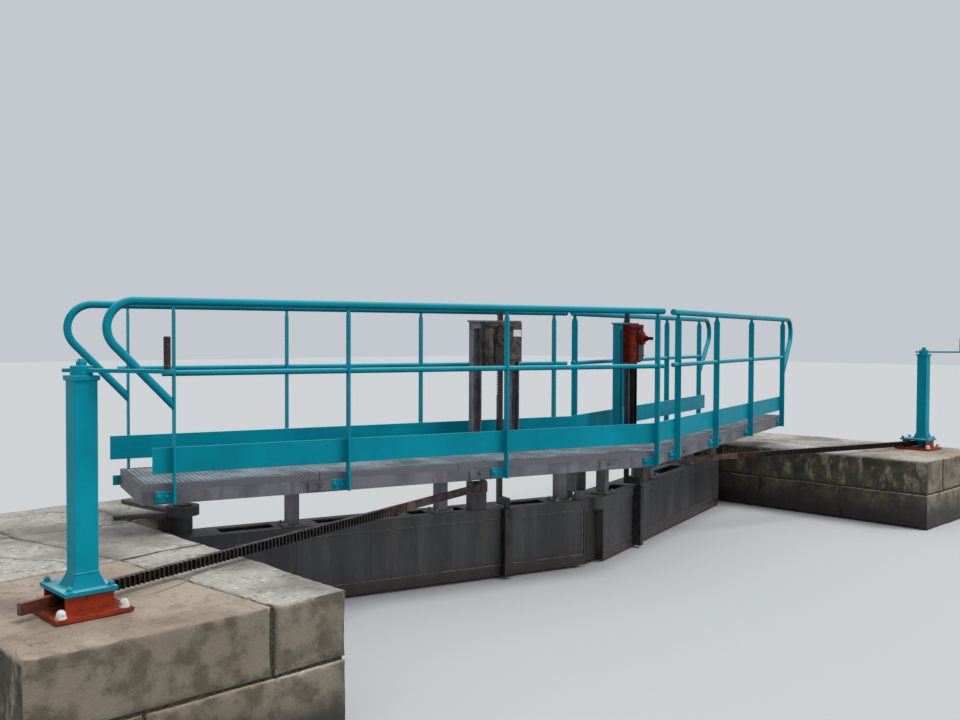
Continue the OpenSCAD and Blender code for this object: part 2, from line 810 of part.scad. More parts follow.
// Gearbox between the columns, with the shaft end for a windlass
module paddle_gearbox(side) {
    top = deck_height + gear_h - plate_t;
    low = deck_height + gear_h - box_h - 80 + plate_t;
    rod_x = rod_at[side];
    way = gear_way[side];
    mid_x = rod_x + way * gear_shift;
    half_b = gear_span / 2 - gear_col_w / 2;
    lid = [mid_x - way * (half_b - eps), mid_x - way * (gear_span / 2 + 20)];
    slot = rod_w / 2 + seat;
    y0 = gear_y - box_d / 2 - 20;
    y1 = gear_y + box_d / 2 - 20;
    color(gear_grey)
    difference() {
        union() {
            block([mid_x - half_b, y0, low], [mid_x + half_b, y1, top]);
            block([min(lid), y0, low + 30], [max(lid), gear_y - gear_col_d / 2 - seat, top]);
            translate([rod_x - 40, y0 + eps, top - 120]) rotate([90, 0, 0]) cylinder(h = 40, d = 110);
            translate([rod_x - 40, y0 + eps, top - 120]) rotate([90, 0, 0]) cylinder(h = 70, d = 50);
            block([rod_x - 54, y0 - 120, top - 134], [rod_x - 26, y0 - 60, top - 106]);
        }
        block([rod_x - slot, gear_y - slot, low - 1], [rod_x + slot, gear_y + slot, top + 1]);
    }
}

// Channel on the leaf's chamber face that the paddle rod slides in
module paddle_guide(side) {
    rod_x = rod_at[side];
    depth = rod_out + rod_w / 2 + 6 + guide_t;
    inner = guide_w - 2 * guide_t;
    color(grease_black)
    difference() {
        block([rod_x - guide_w / 2, -half_t - depth, leaf_lift],
            [rod_x + guide_w / 2, -half_t, leaf_height]);
        block([rod_x - inner / 2, -half_t - depth + guide_t, leaf_lift - 1],
            [rod_x + inner / 2, -half_t - guide_t, leaf_height + 1]);
    }
}

// Square paddle rod, stepped over the leaf, with rack teeth on its upper part
module paddle_rod(side) {
    rod_x = rod_at[side];
    half_w = rod_w / 2;
    x0 = rod_x - half_w;
    x1 = rod_x + half_w;
    step_z = leaf_height + 20;
    z1 = deck_height + rod_top;
    teeth_z = z1 - rod_teeth_l;
    pitch = 20;
    count = floor(rod_teeth_l / pitch) - 1;
    color(grease_black)
    difference() {
        union() {
            block([x0, rod_y - half_w, leaf_lift], [x1, rod_y + half_w, step_z + step_h]);
            block([x0, rod_y - half_w, step_z], [x1, gear_y + half_w, step_z + step_h]);
            block([x0, gear_y - half_w, step_z], [x1, gear_y + half_w, z1]);
        }
        for (i = [0:count]) {
            block([x0 - 1, gear_y - half_w - 1, teeth_z + i * pitch],
                [x0 + 9, gear_y + half_w + 1, teeth_z + i * pitch + pitch / 2]);
        }
    }
}

near_side() abutment();  // near_abutment
near_side() heel_bearings();  // near_heel_bearings
near_side() rack_housing();  // near_rack_housing
near_side() crank_column();  // near_crank_column
near_side() crank(near);  // near_crank
near_side() crank_grip(near);  // near_crank_grip
near_side() rack();  // near_rack
on_near_leaf() heel_post();  // near_heel_post
on_near_leaf() leaf_frame();  // near_leaf_frame
on_near_leaf() leaf_skin();  // near_leaf_skin
on_near_leaf() mitre_post();  // near_mitre_post
on_near_leaf() rack_bracket();  // near_rack_bracket
on_near_leaf() walkway_supports(near);  // near_walkway_supports
on_near_leaf() walkway_frame(near);  // near_walkway_frame
on_near_leaf() grating(near);  // near_grating
on_near_leaf() railing_posts(near);  // near_railing_posts
on_near_leaf() rails(near);  // near_rails
on_near_leaf() toe_boards(near);  // near_toe_boards
on_near_leaf() paddle_frame(near);  // near_paddle_frame
on_near_leaf() paddle_gearbox(near);  // near_paddle_gearbox
on_near_leaf() paddle_guide(near);  // near_paddle_guide
on_near_leaf() paddle_rod(near);  // near_paddle_rod
far_side() abutment();  // far_abutment
far_side() heel_bearings();  // far_heel_bearings
far_side() rack_housing();  // far_rack_housing
far_side() crank_column();  // far_crank_column
far_side() crank(far);  // far_crank
far_side() crank_grip(far);  // far_crank_grip
far_side() rack();  // far_rack
on_far_leaf() heel_post();  // far_heel_post
on_far_leaf() leaf_frame();  // far_leaf_frame
on_far_leaf() leaf_skin();  // far_leaf_skin
on_far_leaf() mitre_post();  // far_mitre_post
on_far_leaf() rack_bracket();  // far_rack_bracket
on_far_leaf() walkway_supports(far);  // far_walkway_supports
on_far_leaf() walkway_frame(far);  // far_walkway_frame
on_far_leaf() grating(far);  // far_grating
on_far_leaf() railing_posts(far);  // far_railing_posts
on_far_leaf() rails(far);  // far_rails
on_far_leaf() toe_boards(far);  // far_toe_boards
on_far_leaf() paddle_frame(far);  // far_paddle_frame
on_far_leaf() paddle_gearbox(far);  // far_paddle_gearbox
on_far_leaf() paddle_guide(far);  // far_paddle_guide
on_far_leaf() paddle_rod(far);  // far_paddle_rod
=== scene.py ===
"""Looks of the canal lock gate: paint, masonry, bolts, welds, grating rods, grease and stains."""

import json
import math
import random

import bmesh
import bpy
from mathutils import Matrix, Vector, noise

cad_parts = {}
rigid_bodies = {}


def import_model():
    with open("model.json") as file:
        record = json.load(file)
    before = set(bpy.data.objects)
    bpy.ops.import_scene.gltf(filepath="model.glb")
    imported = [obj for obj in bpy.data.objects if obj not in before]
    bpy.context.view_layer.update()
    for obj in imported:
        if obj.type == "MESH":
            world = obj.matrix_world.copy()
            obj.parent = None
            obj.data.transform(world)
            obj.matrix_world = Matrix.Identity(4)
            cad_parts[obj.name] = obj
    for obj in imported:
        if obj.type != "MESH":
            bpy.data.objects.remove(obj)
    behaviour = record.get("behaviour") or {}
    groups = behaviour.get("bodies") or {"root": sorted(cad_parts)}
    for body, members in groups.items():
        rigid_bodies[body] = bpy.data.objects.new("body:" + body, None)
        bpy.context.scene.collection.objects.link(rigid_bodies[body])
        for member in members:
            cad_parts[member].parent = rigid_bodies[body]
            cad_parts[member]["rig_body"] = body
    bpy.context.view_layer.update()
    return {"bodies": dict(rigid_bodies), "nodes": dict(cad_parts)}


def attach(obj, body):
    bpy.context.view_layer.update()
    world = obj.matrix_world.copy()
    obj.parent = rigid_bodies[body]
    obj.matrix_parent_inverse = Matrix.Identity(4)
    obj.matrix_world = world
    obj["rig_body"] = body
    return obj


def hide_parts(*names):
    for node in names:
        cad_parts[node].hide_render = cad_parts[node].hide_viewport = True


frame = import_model()
nodes = frame["nodes"]

# Lengths in metres, as in the CAD, with heights above the water. What stands on a bank is
# measured from the middle of the hinge line. On a leaf, x runs from the hinge to the mitre and
# y toward the river.

# The hinge line, and the turn of a closed leaf.
HEEL_X = 3.02
BANK_MID = 0.66
LEAF_TURN = math.radians(-15.3)

# The masonry: its outer edges, and where the winch slab meets its neighbours.
COPING = 0.65
COPING_BED = 0.335
COURSE_TOP = 0.33
BANK_BACK = -4.76
BANK_JOINT = -4.05
BANK_FRONT = -3.33
BANK_UP = -2.22
BANK_DOWN = 0.90
SLAB_KERB = -3.72
SLAB_CORNER = (-3.84, -0.93)
QUOIN_RADIUS = 0.146

# The leaf.
LEAF_TOP = 0.525
LEAF_HALF = 0.14
SUPPORTS = (0.71, 1.83, 2.87)
SUPPORT_Y = -0.05

# The walkway and its railings.
DECK = 0.95
DECK_CHAMBER = -0.643
DECK_RIVER = 0.147
DECK_BACK = {"near": 0.358, "far": 0.640}
DECK_GAP = {"near": -0.065, "far": 0.105}
GRATING_SEAMS = (0.70, 1.67, 2.64)
SPLICES = {"near": (0.700, 1.830, 2.900), "far": (1.670, 2.640)}
RAIL_CHAMBER = -0.678
RAIL_RIVER = 0.182
CHAMBER_POSTS = {"near": (-0.183, 0.877, 2.021, 3.322), "far": (-0.523, 0.724, 1.842, 2.848)}
RIVER_POSTS = {"near": (-0.302, 0.749, 1.778, 2.961), "far": (-0.309, 0.725, 1.830, 2.925)}
FOOT_BOLTS = {"near": (-0.080, -0.034), "far": (0.034, 0.080)}

# The winch on the bank.
WINCH = (-4.355, -1.76)
FOOT_TOP = 0.668
FLANGE_TOP = 0.760
FLARE_TOP = 0.822
HEAD_BOTTOM = 1.620
FLARE_WELD = 0.073
COLUMN_WELD = 0.0485

# The paddle gear, with the side of its gearbox that the barrel is on.
ROD_X = {"near": 2.320, "far": 2.380}
GEAR_MID = {"near": 2.273, "far": 2.427}
GEAR_WAY = {"near": -1, "far": 1}
GEAR_Y = -0.06
GEAR_LOW = 1.587
GEAR_HIGH = 1.913

# Heads of the bolts: width across the flats, height, and thickness of the washer.
BOLTS = {
    "post": (0.019, 0.010, 0.003),
    "flange": (0.024, 0.013, 0.003),
    "splice": (0.022, 0.012, 0.003),
    "support": (0.019, 0.011, 0.002),
    "gear_foot": (0.017, 0.010, 0.002),
    "gear_back": (0.014, 0.008, 0.002),
    "gear_front": (0.011, 0.006, 0.001),
    "gear_lid": (0.010, 0.005, 0.001),
}

# Radii of weld beads.
FINE_BEAD = 0.003
BEAD = 0.004
SKIN_BEAD = 0.0045


class Field:
    """A value that varies over a surface. Arithmetic on it adds nodes to the open material."""

    tree = None

    def __init__(self, socket):
        self.socket = socket

    @classmethod
    def node(cls, kind, inputs=None, out=0, **settings):
        """Adds one shader node, sets or links its inputs, and returns one of its outputs."""
        made = cls.tree.nodes.new("ShaderNode" + kind)
        for key, value in settings.items():
            setattr(made, key, value)
        for key, value in (inputs or {}).items():
            if isinstance(value, Field):
                cls.tree.links.new(value.socket, made.inputs[key])
            else:
                made.inputs[key].default_value = value
        return cls(made.outputs[out])

    def maths(self, operation, other=0.0, swapped=False):
        """A sum of this value and another; swapped puts the other one first."""
        pair = (other, self) if swapped else (self, other)
        return Field.node("Math", dict(enumerate(pair)), operation=operation)

    def __add__(self, other):
        return self.maths("ADD", other)

    __radd__ = __add__

    def __sub__(self, other):
        return self.maths("SUBTRACT", other)

    def __rsub__(self, other):
        return self.maths("SUBTRACT", other, swapped=True)

    def __mul__(self, other):
        return self.maths("MULTIPLY", other)

    __rmul__ = __mul__

    def __abs__(self):
        return self.maths("ABSOLUTE")

    def step(self, low, high):
        """0 below low, 1 above high and a soft change between them; high may be the lower."""
        ends = {"Value": self, "From Min": low, "From Max": high}
        return Field.node("MapRange", ends, interpolation_type="SMOOTHSTEP")


def srgb(red, green, blue):
    """Linear colour from the eight-bit values that a screen shows."""
    values = [v / 255 for v in (red, green, blue)]
    linear = [v / 12.92 if v < 0.04045 else ((v + 0.055) / 1.055) ** 2.4 for v in values]
    return (*linear, 1.0)


def place():
    """Where a point of the surface lies at rest, as three fields."""
    spot = Field.node("TexCoord", out="Object")
    return [Field.node("SeparateXYZ", {0: spot}, out=axis) for axis in "XYZ"]


def cloud(scale, stretch=(1, 1, 1), detail=4.0, rough=0.55):
    """Soft random patches between about 0.3 and 0.7."""
    spot = Field.node("TexCoord", out="Object")
    spot = Field.node("VectorMath", {0: spot, 1: stretch}, operation="MULTIPLY")
    wanted = {"Vector": spot, "Scale": scale, "Detail": detail, "Roughness": rough}
    return Field.node("TexNoise", wanted)


def upward():
    """1 on faces that look up, 0 on walls and -1 on undersides."""
    normal = Field.node("NewGeometry", out="Normal")
    return Field.node("SeparateXYZ", {0: normal}, out="Z")


def facing_up():
    """1 on level faces and on slopes that rain and dust reach, 0 on walls; on the turquoise paint
    it also places a painted sky highlight.
    """
    return upward().step(0.3, 0.9)


def mix(first, second, share):
    """The first colour where share is 0 and the second where it is 1."""
    return Field.node("Mix", {0: share, 6: first, 7: second}, out=2, data_type="RGBA")


def relief(height, depth, strength=1.0):
    """A surface that seems to rise with height, by up to depth in metres."""
    wanted = {"Height": height, "Distance": depth, "Strength": strength}
    return Field.node("Bump", wanted, out="Normal")


def material(recipe):
    """Makes a material from a function that returns what goes into the surface shader."""
    made = bpy.data.materials.new(recipe.__name__)
    made.use_nodes = True
    tree = made.node_tree
    tree.nodes.clear()
    Field.tree = tree
    shader = tree.nodes.new("ShaderNodeBsdfPrincipled")
    output = tree.nodes.new("ShaderNodeOutputMaterial")
    tree.links.new(shader.outputs[0], output.inputs["Surface"])
    for key, value in recipe().items():
        if isinstance(value, Field):
            tree.links.new(value.socket, shader.inputs[key])
        else:
            shader.inputs[key].default_value = value
    return made


@material
def turquoise_paint():
    patches = cloud(2.5)
    specks = cloud(55, detail=2)
    runs = cloud(9, (1, 1, 0.12), detail=3)
    colour = mix(srgb(0, 132, 152), srgb(0, 144, 164), patches.step(0.35, 0.65))
    colour = mix(colour, srgb(0, 104, 118), runs.step(0.56, 0.72) * 0.15)
    # Painted highlight: upper faces are mixed toward a pale sky colour, a painted reflection of
    # the sky, and near-level faces get a second, brighter painted glint.
    colour = mix(colour, srgb(110, 200, 212), facing_up() * 0.5)
    colour = mix(colour, srgb(178, 234, 240), upward().step(0.80, 1.0) * 0.4)
    # Painted shade: undersides are darkened toward a deep teal.
    colour = mix(colour, srgb(0, 66, 78), upward().step(-0.1, -0.8) * 0.75)
    colour = mix(colour, srgb(84, 48, 28), specks.step(0.70, 0.76) * 0.6)
    rough = 0.34 + 0.24 * cloud(7)
    return {
        "Base Color": colour,
        "Roughness": rough,
        "Specular IOR Level": 0.08,
        "Normal": relief(cloud(160, detail=2), 0.0004, 0.5),
    }


@material
def leaf_steel():
    height = place()[2]
    streaks = cloud(16, (1, 1, 0.06), detail=5)
    wide = cloud(3.2, (1, 1, 0.25), detail=5)
    blots = cloud(26, detail=5)
    colour = mix(srgb(58, 57, 60), srgb(80, 78, 79), wide.step(0.36, 0.66))
    colour = mix(colour, srgb(46, 45, 47), streaks.step(0.52, 0.70) * 0.35)
    colour = mix(colour, srgb(112, 106, 98), streaks.step(0.44, 0.33) * 0.2)
    algae = height.step(0.42, 0.54) * wide.step(0.46, 0.64)
    colour = mix(colour, srgb(70, 70, 54), algae * 0.4)
    colour = mix(colour, srgb(92, 58, 34), blots.step(0.66, 0.73) * 0.5)
    tide = (height + (wide - 0.5) * 0.12).step(0.17, 0.05)
    colour = mix(colour, srgb(56, 40, 26), tide * 0.85)
    return {
        "Base Color": colour,
        "Roughness": 0.48 + 0.3 * blots - tide * 0.25,
        "Normal": relief(blots + 0.4 * cloud(110), 0.0012, 0.5),
    }


@material
def deck_steel():
    patches = cloud(4, detail=5)
    runs = cloud(13, (1, 1, 0.1))
    colour = mix(srgb(84, 85, 92), srgb(114, 114, 120), patches.step(0.38, 0.64))
    colour = mix(colour, srgb(66, 63, 66), runs.step(0.52, 0.7) * 0.5)
    colour = mix(colour, srgb(104, 74, 50), cloud(38, detail=5).step(0.66, 0.74) * 0.6)
    return {
        "Base Color": colour,
        "Roughness": 0.45 + 0.25 * patches,
        "Normal": relief(cloud(120), 0.0005, 0.4),
    }


@material
def galvanised_steel():
    patches = cloud(6, detail=5)
    colour = mix(srgb(156, 166, 171), srgb(198, 208, 213), patches.step(0.36, 0.64))
    colour = mix(colour, srgb(112, 104, 88), cloud(2.2).step(0.52, 0.72) * 0.4)
    across, along, _ = place()
    span, over = HEEL_X - abs(across), along - BANK_MID
    longer = DECK_BACK["far"] - DECK_BACK["near"]
    back = DECK_BACK["near"] + longer * across.step(-0.1, 0.1)
    from_rail = math.cos(LEAF_TURN) * over - math.sin(LEAF_TURN) * span
    from_heel = math.cos(LEAF_TURN) * span + math.sin(LEAF_TURN) * over + back
    fade = (0.006, 0.004)
    rim = (from_rail - DECK_CHAMBER).step(*fade)
    rim += (DECK_RIVER - from_rail).step(*fade) + from_heel.step(*fade)
    colour = mix(colour, srgb(102, 102, 108), rim.step(0.4, 0.6))
    return {
        "Base Color": colour,
        "Metallic": 0.15,
        "Roughness": 0.5 + 0.2 * patches,
    }


@material
def red_brown_steel():
    patches = cloud(14, detail=6, rough=0.65)
    colour = mix(srgb(158, 52, 16), srgb(122, 40, 14), patches.step(0.42, 0.6))
    colour = mix(colour, srgb(38, 26, 20), cloud(9, detail=5).step(0.56, 0.66) * 0.8)
    colour = mix(colour, srgb(180, 116, 92), cloud(30, detail=4).step(0.62, 0.74) * 0.35)
    return {
        "Base Color": colour,
        "Roughness": 0.42 + 0.35 * patches,
        "Specular IOR Level": 0.3,
        "Normal": relief(patches + 0.5 * cloud(90), 0.002, 0.6),
    }


@material
def greased_rack():
    """Black grease on the teeth, a rusty end at the leaf and a red-brown tail at the winch."""
    leaf_end, tail = (2.35, 2.1), (4.42, 4.5)
    along = abs(place()[0])
    lumps = cloud(30, detail=5, rough=0.6)
    worn = facing_up() * (0.35 + 0.65 * cloud(11, detail=5).step(0.48, 0.60))
    colour = mix(srgb(16, 15, 14), srgb(44, 38, 32), lumps.step(0.44, 0.62))
    colour = mix(colour, srgb(118, 104, 88), worn * 0.8)
    bare = along.step(*leaf_end)
    rust = mix(srgb(92, 64, 48), srgb(50, 38, 31), cloud(18, detail=6).step(0.4, 0.6))
    colour = mix(colour, rust, bare * 0.95)
    colour = mix(colour, srgb(150, 78, 60), along.step(*tail) * (0.3 + 0.6 * facing_up()))
    return {
        "Base Color": colour,
        "Roughness": 0.26 + 0.4 * bare + 0.3 * worn,
        "Normal": relief(lumps + 0.5 * cloud(95, detail=3), 0.003, 0.7),
    }


@material
def greased_steel():
    lumps = cloud(24, (1, 1, 0.5), detail=5)
    colour = mix(srgb(18, 17, 17), srgb(46, 42, 38), lumps.step(0.42, 0.64))
    colour = mix(colour, srgb(78, 62, 46), cloud(6, (1, 1, 0.3)).step(0.56, 0.7) * 0.5)
    return {
        "Base Color": colour,
        "Roughness": 0.3 + 0.3 * lumps,
        "Normal": relief(lumps, 0.002, 0.6),
    }


@material
def wet_timber():
    grain = cloud(60, (1, 1, 0.04), detail=5)
    colour = mix(srgb(30, 25, 20), srgb(70, 58, 45), grain.step(0.38, 0.64))
    colour = mix(colour, srgb(52, 56, 36), cloud(5).step(0.52, 0.68) * 0.5)
    return {
        "Base Color": colour,
        "Roughness": 0.45 + 0.3 * grain,
        "Normal": relief(grain, 0.003, 0.7),
    }


@material
def limestone():
    """Pale worn slabs, a warmer one under the winch, and dark walls with lime and moss."""
    across, along, height = place()
    across = abs(across)
    beds = cloud(1.7, detail=6, rough=0.6)
    blots = cloud(7, detail=6, rough=0.62)
    lichen = cloud(30, detail=6, rough=0.7)
    grit = cloud(170, detail=2)
    pale = mix(srgb(142, 137, 127), srgb(188, 181, 170), beds.step(0.38, 0.60))
    pale = mix(pale, srgb(112, 108, 100), lichen.step(0.50, 0.62) * blots.step(0.44, 0.58) * 0.85)
    pale = mix(pale, srgb(222, 219, 211), lichen.step(0.46, 0.38) * beds.step(0.46, 0.58) * 0.6)
    warm = mix(srgb(158, 139, 122), srgb(186, 168, 150), beds.step(0.38, 0.60))
    warm = mix(warm, srgb(132, 116, 100), blots.step(0.50, 0.60) * 0.55)
    warm = mix(warm, srgb(206, 194, 180), lichen.step(0.56, 0.68) * 0.35)
    corner_x, corner_y = -SLAB_CORNER[0], SLAB_CORNER[1] + BANK_MID
    side_slope, end_slope = 0.093, 0.098
    beside = (across - corner_x - side_slope * (along - corner_y)).step(-0.003, 0.003)
    before = (corner_y - end_slope * (across - corner_x) - along).step(0.0, 0.01)
    winch_slab = beside * before
    colour = mix(pale, warm, winch_slab)
    colour = mix(colour, srgb(92, 84, 72), grit.step(0.60, 0.72) * 0.45)
    colour = mix(colour, srgb(54, 52, 40), cloud(19, detail=6, rough=0.7).step(0.62, 0.68) * 0.7)
    spot = Field.node("TexCoord", out="Object")
    shift = Field.node("TexNoise", {"Scale": 2.5}, out=1)
    bent = Field.node("VectorMath", {0: spot, 1: shift}, operation="ADD")
    crack = Field.node("TexVoronoi", {"Vector": bent, "Scale": 1.1}, feature="DISTANCE_TO_EDGE")
    crack = crack.step(0.010, 0.003) * beds.step(0.48, 0.56)
    colour = mix(colour, srgb(84, 76, 60), crack * 0.7)
    side = 1 - facing_up()
    normal = Field.node("NewGeometry", out="Normal")
    face = abs(Field.node("SeparateXYZ", {0: normal}, out="X")).step(0.4, 0.8)
    drips = cloud(8, (1, 1, 0.5), detail=6, rough=0.68)
    dull = mix(srgb(122, 112, 96), srgb(84, 75, 60), blots.step(0.42, 0.60))
    wall = mix(srgb(24, 20, 14), srgb(74, 62, 44), blots.step(0.42, 0.62))
    wall = mix(wall, srgb(158, 150, 130), drips.step(0.50, 0.64) * height.step(0.20, 0.44) * 0.7)
    wall = mix(wall, srgb(176, 166, 148), (height + 0.06 * drips).step(0.645, 0.668) * 0.6)
    wall = mix(wall, srgb(58, 60, 22), cloud(15, detail=6, rough=0.7).step(0.56, 0.64) * 0.7)
    colour = mix(colour, mix(dull, wall, face), side * 0.9)
    tide = (height + (beds - 0.5) * 0.25).step(0.28, 0.08)
    colour = mix(colour, srgb(34, 28, 20), tide * 0.9)
    return {
        "Base Color": colour,
        "Roughness": 0.88 - tide * 0.3,
        "Normal": relief(blots * 2 + cloud(75, detail=4, rough=0.6) + 0.3 * grit, 0.006, 0.6),
    }


@material
def earth_mortar():
    grains = cloud(70, detail=5)
    colour = mix(srgb(46, 38, 28), srgb(86, 76, 60), grains.step(0.4, 0.64))
    colour = mix(colour, srgb(56, 64, 30), cloud(8).step(0.52, 0.64) * 0.7)
    return {"Base Color": colour, "Roughness": 0.95, "Normal": relief(grains, 0.006)}


@material
def gear_grey():
    blots = cloud(13, detail=6, rough=0.65)
    colour = mix(srgb(56, 48, 43), srgb(94, 86, 80), blots.step(0.4, 0.62))
    colour = mix(colour, srgb(34, 28, 25), cloud(24, detail=5).step(0.56, 0.66) * 0.8)
    colour = mix(colour, srgb(132, 122, 112), cloud(32, detail=4).step(0.62, 0.72) * 0.55)
    return {
        "Base Color": colour,
        "Roughness": 0.5 + 0.3 * blots,
        "Specular IOR Level": 0.3,
        "Normal": relief(blots + 0.5 * cloud(80), 0.0015, 0.6),
    }


@material
def gear_column_paint():
    blots = cloud(11, detail=5)
    colour = mix(srgb(90, 89, 95), srgb(118, 116, 122), blots.step(0.38, 0.62))
    colour = mix(colour, srgb(44, 36, 30), cloud(22, (1, 1, 0.3), 5).step(0.58, 0.70) * 0.7)
    return {
        "Base Color": colour,
        "Roughness": 0.42 + 0.25 * blots,
        "Normal": relief(cloud(120, detail=2), 0.0006, 0.5),
    }


@material
def gear_red():
    blots = cloud(12, detail=6, rough=0.65)
    colour = mix(srgb(112, 26, 6), srgb(76, 18, 6), blots.step(0.4, 0.62))
    colour = mix(colour, srgb(34, 22, 18), cloud(20, detail=5).step(0.56, 0.66) * 0.75)
    return {
        "Base Color": colour,
        "Roughness": 0.45 + 0.3 * blots,
        "Specular IOR Level": 0.12,
        "Normal": relief(blots, 0.0015, 0.6),
    }


@material
def far_gear_paint():
    """Turquoise column at the mitre side and a greasy dark one at the heel side."""
    between = (0.69, 0.70)
    blots = cloud(14, detail=5)
    paint = mix(srgb(0, 116, 136), srgb(0, 136, 157), cloud(2.5).step(0.35, 0.65))
    dark = mix(srgb(14, 13, 14), srgb(36, 33, 31), blots.step(0.44, 0.66))
    share = place()[0].step(*between)
    return {
        "Base Color": mix(paint, dark, share),
        "Roughness": 0.36 + 0.2 * blots,
        "Specular IOR Level": 0.22,
        "Normal": relief(cloud(140, detail=2), 0.0006, 0.5),
    }


@material
def weld_steel():
    blots = cloud(45, detail=4)
    colour = mix(srgb(92, 90, 86), srgb(132, 128, 118), blots.step(0.42, 0.6))
    return {"Base Color": colour, "Roughness": 0.5}


@material
def worn_grip():
    blots = cloud(40, detail=4)
    colour = mix(srgb(26, 23, 22), srgb(72, 58, 48), blots.step(0.48, 0.66))
    return {"Base Color": colour, "Roughness": 0.5 + 0.2 * blots}


@material
def zinc_bolt():
    blots = cloud(50, detail=4)
    colour = mix(srgb(150, 150, 148), srgb(100, 84, 66), blots.step(0.5, 0.66))
    return {"Base Color": colour, "Metallic": 0.4, "Roughness": 0.42 + 0.2 * blots}


@material
def white_cap():
    blots = cloud(45, detail=3)
    colour = mix(srgb(226, 226, 222), srgb(170, 160, 146), blots.step(0.5, 0.68))
    return {"Base Color": colour, "Roughness": 0.4}


@material
def pale_floor():
    return {"Base Color": srgb(206, 207, 206), "Roughness": 0.9}


def matrices(side):
    """Placing of what is drawn for the near side: on the bank and on the leaf."""
    bank = Matrix.Translation((0, BANK_MID, 0))
    leaf = bank @ Matrix.Translation((-HEEL_X, 0, 0)) @ Matrix.Rotation(LEAF_TURN, 4, "Z")
    if side == "far":
        mirror = Matrix.Scale(-1, 4, (1, 0, 0))
        return {"bank": mirror @ bank, "leaf": mirror @ leaf}
    return {"bank": bank, "leaf": leaf}


class Shape:
    """Gathers simple solids, in metres, into the mesh of one piece."""

    def __init__(self):
        self.mesh = bmesh.new()

    def box(self, low, high):
        """A block between two opposite corners."""
        low, high = Vector(low), Vector(high)
        size = Matrix.Diagonal((*(high - low), 1.0))
        spot = Matrix.Translation((low + high) / 2) @ size
        bmesh.ops.create_cube(self.mesh, size=1.0, matrix=spot)

    def rod(self, start, end, radius, sides, turn=0.0):
        """A round or many-sided bar between two points."""
        start, end = Vector(start), Vector(end)
        way = end - start
        spot = Matrix.Translation((start + end) / 2)
        spot = spot @ way.to_track_quat("Z", "Y").to_matrix().to_4x4()
        spot = spot @ Matrix.Rotation(turn, 4, "Z")
        bmesh.ops.create_cone(
            self.mesh,
            cap_ends=True,
            segments=sides,
            radius1=radius,
            radius2=radius,
            depth=way.length,
            matrix=spot,
        )

    def bolt(self, spot, way, kind):
        """A hexagon head with its bolt's end on a washer, standing out along way."""
        across, height, washer = BOLTS[kind]
        washer_radius, corner_radius, end_radius = across * 0.78, across * 0.577, across * 0.3
        sunk, end_height = 0.002, height * 0.45
        spot, way = Vector(spot), Vector(way).normalized()
        self.rod(spot, spot + way * washer, washer_radius, 20)
        top = spot + way * (washer + height)
        self.rod(spot + way * washer * 0.5, top, corner_radius, 6, turn=random.random())
        self.rod(top - way * sunk, top + way * end_height, end_radius, 12)

    def bead(self, points, radius, closed=True):
        """A weld bead that runs along straight lines between points."""
        last = len(points) if closed else len(points) - 1
        for i in range(last):
            start, end = Vector(points[i]), Vector(points[(i + 1) % len(points)])
            self.rod(start, end, radius, 8)
            self.ball(start, radius)

    def ball(self, spot, radius, rings=6):
        """A sphere."""
        bmesh.ops.create_uvsphere(
            self.mesh,
            u_segments=rings * 2,
            v_segments=rings,
            radius=radius,
            matrix=Matrix.Translation(spot),
        )

    def prism(self, outline, low, high):
        """An upright solid on a plan outline."""
        ends = []
        for z in (low, high):
            ends.append([self.mesh.verts.new((x, y, z)) for x, y in outline])
        bottom, top = ends
        self.mesh.faces.new(list(reversed(bottom)))
        self.mesh.faces.new(top)
        for i in range(len(outline)):
            j = (i + 1) % len(outline)
            self.mesh.faces.new((bottom[i], bottom[j], top[j], top[i]))

    def make(self, name, side, part, body, finish, bevel=0.0):
        """Turns the shape into a piece of that side, placed on the bank or the leaf."""
        bmesh.ops.transform(self.mesh, matrix=matrices(side)[part], verts=self.mesh.verts)
        bmesh.ops.recalc_face_normals(self.mesh, faces=self.mesh.faces)
        piece(f"{side}_{name}", self.mesh, finish, f"{side}_{body}", bevel)


def piece(name, mesh, finish, body, bevel=0.0, smooth=40):
    """Makes an object of a mesh, with soft shading up to an angle and worn edges.

    A body that isn't in the frame, such as near_site, means that the piece stays fixed.
    """
    for face in mesh.faces:
        face.smooth = True
    for edge in mesh.edges:
        sharp = len(edge.link_faces) != 2 or edge.calc_face_angle(0) > math.radians(smooth)
        edge.smooth = not sharp
    data = bpy.data.meshes.new(name)
    mesh.to_mesh(data)
    mesh.free()
    data.materials.append(finish)
    made = bpy.data.objects.new(name, data)
    bpy.context.scene.collection.objects.link(made)
    if bevel:
        worn = made.modifiers.new("worn_edges", "BEVEL")
        worn.width = bevel
        worn.segments = 2
        worn.limit_method = "ANGLE"
        worn.angle_limit = math.radians(smooth)
        worn.harden_normals = True
    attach(made, body if body in frame["bodies"] else "site")
    return made


def rounded(node, finish, bevel):
    """Shows a CAD node with the same form but soft edges."""
    mesh = bmesh.new()
    mesh.from_mesh(nodes[node].data)
    bmesh.ops.remove_doubles(mesh, verts=mesh.verts, dist=2e-5)
    flat = math.radians(0.5)
    bmesh.ops.dissolve_limit(mesh, angle_limit=flat, verts=mesh.verts, edges=mesh.edges)
    made = piece(node + "_solid", mesh, finish, nodes[node]["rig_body"], bevel)
    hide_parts(node)


